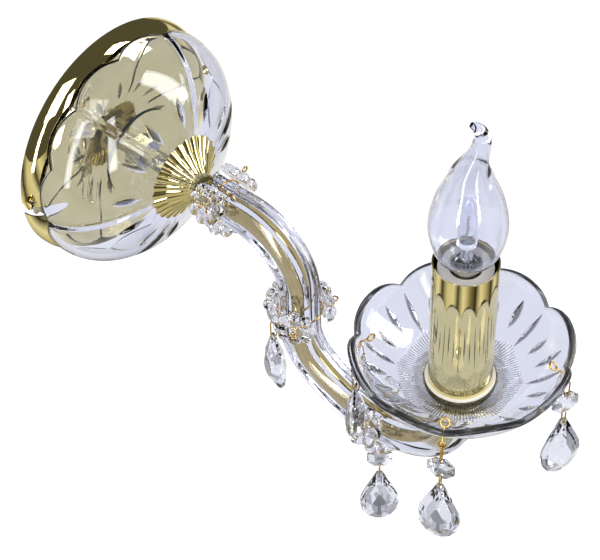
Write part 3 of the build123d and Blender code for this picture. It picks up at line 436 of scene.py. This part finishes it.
def wall_bowl():
    """The bowl as one closed grid. Across: angle round the wall axis. Along: the outer ellipse
    from the bore to the arched rim and the inner one back, with a crease at every other notch."""
    two_lobes = 720 / BOWL_LOBES
    angle = np.arange(BOWL_COLUMNS) * 360 / BOWL_COLUMNS
    drop = arch(angle, BOWL_LOBES, BOWL_NOTCH_ANGLE, BOWL_CHORD_R, BOWL_NOTCH)

    def wall(shape, rows):
        """Radii and distances from the wall of one side, from the rim (row 0) to the bore."""
        width, depth = shape
        low = np.arcsin(drop / depth)
        high = np.arccos(BOWL_BORE_R / width)
        turn = low[:, None] + (high - low)[:, None] * rows[None, :]
        return width * np.cos(turn), BOWL_RIM + depth * np.sin(turn)

    rows = np.linspace(0, 1, BOWL_ROWS)
    outer_r, outer_y = wall(BOWL_OUTER, rows[::-1])
    inner_r, inner_y = wall(BOWL_INNER, rows)
    lip_r, rise = rounded_lip(outer_r[:, -1], inner_r[:, 0])
    lip_y = outer_y[:, -1:] - rise
    radius = np.concatenate([outer_r, lip_r, inner_r], axis=1)
    depth = np.concatenate([outer_y, lip_y, inner_y], axis=1)
    turn = np.repeat(angle[:, None], radius.shape[1], axis=1)
    aside = (turn - BOWL_NOTCH_ANGLE + two_lobes / 2) % two_lobes - two_lobes / 2
    across = np.abs(np.radians(aside)) * radius
    fade = np.clip((radius - CREASE_START_R) / CREASE_FADE, 0, 1)
    crease = np.clip(1 - across / CREASE_WIDTH, 0, 1) * fade
    cut = almond(turn, radius, BOWL_CUTS, two_lobes, BOWL_NOTCH_ANGLE)
    for groove in (crease, cut):
        groove[:, outer_r.shape[1] :] = 0
    sink = CREASE_DEPTH * crease + CUT_DEPTH * cut
    share = radius / BOWL_OUTER[0]
    radius = radius - sink * share
    depth = depth - sink * np.sqrt(np.clip(1 - share**2, 0, 1))
    way = np.radians(turn)
    points = np.stack([radius * np.cos(way), -depth, radius * np.sin(way)], axis=-1)
    # Painted shade of the cuts, passed on as the cut attribute
    shade = np.minimum(cut * CUT_SHADE, 1)[:, ::-1]
    return torus_piece("wall_bowl", points[:, ::-1], shade, np.zeros_like(shade))


def filament_coil():
    """Coiled wire, a tube along a helix with closed ends: the circle round the path at angle u
    shrinks almost to a point in the first and last rows."""
    path = np.linspace(0, 2 * np.pi * COIL_TURNS, COIL_TURNS * COIL_STEPS)
    u = np.linspace(0, 2 * np.pi, COIL_SIDES + 1)[:-1]
    size = np.full(len(path), COIL_WIRE_R)
    size[[0, -1]] = COIL_WIRE_R * 0.02
    ring = COIL_R + size[:, None] * np.cos(u)[None]
    rise = (COIL_PITCH * path / (2 * np.pi))[:, None]
    points = np.stack(
        [
            ring * np.cos(path)[:, None],
            -REACH + ring * np.sin(path)[:, None],
            COIL_FOOT_Z + rise + size[:, None] * np.sin(u)[None],
        ],
        axis=-1,
    )
    rows, columns = points.shape[:2]
    index = np.arange(rows * columns).reshape(rows, columns)
    beside = np.roll(index, -1, axis=1)
    sides = np.stack([index[:-1], index[1:], beside[1:], beside[:-1]], axis=-1)
    ends = [index[0].tolist(), index[-1][::-1].tolist()]
    return smooth_piece("filament_coil", points, sides.reshape(-1, 4).tolist() + ends)


def dress(obj, body, slot, *nodes):
    """Gives a mesh its slot's material and its CAD body, and hides the CAD nodes it stands for."""
    obj.data.materials.append(FINISHES[slot])
    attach(obj, body)
    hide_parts(*nodes)


def floor_material():
    """Pale matt floor that keeps its shadow. Through glass it is a plain tint, and in gloss it
    shows
    the painted reflections: the bright and dark sectors listed at the top."""
    made, tree, out = material("studio_floor")
    fine = grain(tree, 40.0)
    tint = node(
        tree,
        "ShaderNodeMix",
        data_type="RGBA",
        i0=fine.outputs["Fac"],
        i6=rgb("F6F6F7"),
        i7=rgb("F8F8F8"),
    )
    matt = node(tree, "ShaderNodeBsdfDiffuse", Color=tint.outputs[2])
    through = node(tree, "ShaderNodeEmission", Color=rgb("E9EBF7"), Strength=1.0)
    # Painted reflections: sectors round the candle, seen by glossy rays alone
    where = node(tree, "ShaderNodeTexCoord").outputs["Object"]
    about = node(tree, "ShaderNodeVectorMath", operation="ADD", i0=where, i1=(0, REACH * MM, 0))
    sector = node(tree, "ShaderNodeTexGradient", gradient_type="RADIAL", Vector=about.outputs[0])
    painted_reflection_ramp = node(tree, "ShaderNodeValToRGB", Fac=sector.outputs["Fac"])
    stops = painted_reflection_ramp.color_ramp.elements
    stops[0].color = stops[1].color = rgb("F4EEDA")
    for place, code in PAINTED_REFLECTION_BANDS:
        stops.new(place).color = rgb(code)
    gloss = node(tree, "ShaderNodeEmission", Color=painted_reflection_ramp.outputs[0], Strength=1.0)
    path = node(tree, "ShaderNodeLightPath")
    first = node(
        tree,
        "ShaderNodeMixShader",
        i0=path.outputs["Is Glossy Ray"],
        i1=matt.outputs[0],
        i2=gloss.outputs[0],
    )
    second = node(
        tree,
        "ShaderNodeMixShader",
        i0=path.outputs["Is Transmission Ray"],
        i1=first.outputs[0],
        i2=through.outputs[0],
    )
    tree.links.new(second.outputs[0], out.inputs[0])
    return made


def lay_floor():
    """A square floor under the object."""
    mesh = bpy.data.meshes.new("floor")
    turns = ((-1, -1), (1, -1), (1, 1), (-1, 1))
    corners = [(x * FLOOR_HALF, y * FLOOR_HALF, FLOOR * MM) for x, y in turns]
    mesh.from_pydata(corners, [], [(0, 1, 2, 3)])
    mesh.materials.append(floor_material())
    floor = put("floor", mesh)


def light_world():
    """Even light from all round; white to the camera, dark to gloss and pale blue to glass."""
    world = bpy.data.worlds.new("studio")
    bpy.context.scene.world = world
    world.use_nodes = True
    tree = world.node_tree
    tree.nodes.clear()
    path = node(tree, "ShaderNodeLightPath")
    colour = rgb("D8D8DA")
    for ray, code in (
        ("Is Glossy Ray", "5A574C"),
        ("Is Transmission Ray", "E3E6F5"),
        ("Is Camera Ray", "FFFFFF"),
    ):
        mixed = node(
            tree,
            "ShaderNodeMix",
            data_type="RGBA",
            i0=path.outputs[ray],
            i6=colour,
            i7=rgb(code),
        )
        colour = mixed.outputs[2]
    sky = node(tree, "ShaderNodeBackground", Color=colour, Strength=1.0)
    end = tree.nodes.new("ShaderNodeOutputWorld")
    tree.links.new(sky.outputs[0], end.inputs[0])


def hang_lamps():
    """The soft lamps of LAMPS, each turned to face LAMP_AIM with its long side upright."""
    for name, at, wide, tall, power in LAMPS:
        lamp = bpy.data.lights.new(name, "AREA")
        lamp.shape = "RECTANGLE"
        lamp.size = wide
        lamp.size_y = tall
        lamp.energy = power
        back = np.array(at) - np.array(LAMP_AIM)
        back = back / np.linalg.norm(back)
        right = np.cross((0, 0, 1), back)
        right = right / np.linalg.norm(right)
        put(name, lamp).matrix_world = placing(at, right, np.cross(back, right), back)


def set_camera():
    """The camera as solved from the photograph, and plain view settings."""
    lens = bpy.data.cameras.new("camera")
    lens.lens = LENS
    lens.sensor_width = 36.0
    lens.clip_end = 20.0
    camera = put("camera", lens)
    camera.matrix_world = placing(CAMERA_AT, CAMERA_RIGHT, CAMERA_UP, CAMERA_BACK)
    bpy.context.scene.camera = camera
    bpy.context.scene.view_settings.view_transform = "Standard"


def placing(at, right, up, back):
    """Matrix of a place in mm and three directions."""
    rows = [[right[i], up[i], back[i], at[i] * MM] for i in range(3)]
    return Matrix(rows + [[0, 0, 0, 1]])


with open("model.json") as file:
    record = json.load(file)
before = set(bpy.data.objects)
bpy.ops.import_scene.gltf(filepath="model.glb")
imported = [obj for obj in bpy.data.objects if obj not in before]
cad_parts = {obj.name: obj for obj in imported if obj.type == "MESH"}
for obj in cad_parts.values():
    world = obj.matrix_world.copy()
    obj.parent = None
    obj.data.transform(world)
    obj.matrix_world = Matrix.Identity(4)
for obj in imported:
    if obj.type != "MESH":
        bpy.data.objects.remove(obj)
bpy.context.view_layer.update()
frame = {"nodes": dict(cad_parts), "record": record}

FINISHES = {
    # Polished pale brass sheet: near a mirror, with long soft stripes from the lamps and the
    # floor's painted reflections
    "polished_brass": metal("polished_pale_brass", "E6DCA8", "DCCF96", 0.03),
    # Drawn brass wire of hooks, links and floret stems: bright and a little duller along its length
    "brass_wire": metal("bright_brass_wire", "D8B565", "C9A24E", 0.12, 3.0),
    # Polished brass tube of the arm, seen through the fluted glass
    "brass_tube": metal("polished_brass_tube", "CDBB82", "B7A468", 0.09),
    # Pressed glass of dish, bowl and arm: a slow ripple from the mould, and painted shade in the
    # cuts and ribs of dish and bowl
    "clear_glass": glass("clear_pressed_glass", "F4F5FB"),
    # Cut and polished crystal: flat, sharp faces, some of them darkened with painted shade
    "cut_crystal": glass("cut_crystal", "FCFCFE", 8.0, 0.000004, painted_facet_shade=0.8),
    # Pressed glass of the florets: a tighter ripple and painted shade on a few faces
    "pressed_glass": glass("pressed_floret_glass", "F4F3F4", 4.0, painted_facet_shade=0.25),
    # Thin blown glass of the bulb: wide, very slight waves and a light shadow
    "bulb_glass": glass("blown_bulb_glass", "F7F8FD", 20.0, 0.00001, "DDDFEA"),
    # Zinc-plated steel of bracket, nuts and screws: grey with a soft gloss
    "steel": metal("zinc_plated_steel", "B9BABD", "A7A9AD", 0.25, 2.0),
    # Stamped brass contacts and clamps, unpolished
    "contact_brass": metal("stamped_contact_brass", "C8B074", "B39A60", 0.22, 2.0),
    # Nickel plate of the bulb's cap: warm grey and bright
    "nickel_cap": metal("nickel_plate", "C9C7C2", "B5B3AD", 0.16, 2.0),
    # Moulded plastic of terminal block and lampholder: pale, with a soft sheen
    "white_plastic": plastic("white_moulded_plastic", "B4B0A8", 0.35),
    # Dark glass insulator under the bulb's cap: smooth and glossy
    "black_glass": plastic("dark_insulator_glass", "17171A", 0.12),
    # Soft gasket sheet: pale and matt
    "gasket": plastic("pale_soft_gasket", "DAD6CC", 0.7),
    # Insulation of the wires: matt plastic in the usual three colours
    "brown_insulation": plastic("brown_wire_insulation", "5C3A24", 0.5),
    "blue_insulation": plastic("blue_wire_insulation", "2A58A0", 0.5),
    "earth_insulation": plastic("green_wire_insulation", "6C9A34", 0.5),
}
for part in frame["record"]["subparts"]:
    shown = frame["nodes"][part["node"]]
    shown.data.materials.clear()
    shown.data.materials.append(FINISHES[part["material_slot"]])

dress(glass_dish(), "sconce", "clear_glass", "bobeche")
dress(wall_bowl(), "sconce", "clear_glass", "glass_bowl")
dress(filament_coil(), "bulb", "steel", "filament")
lay_floor()
light_world()
hang_lamps()
set_camera()
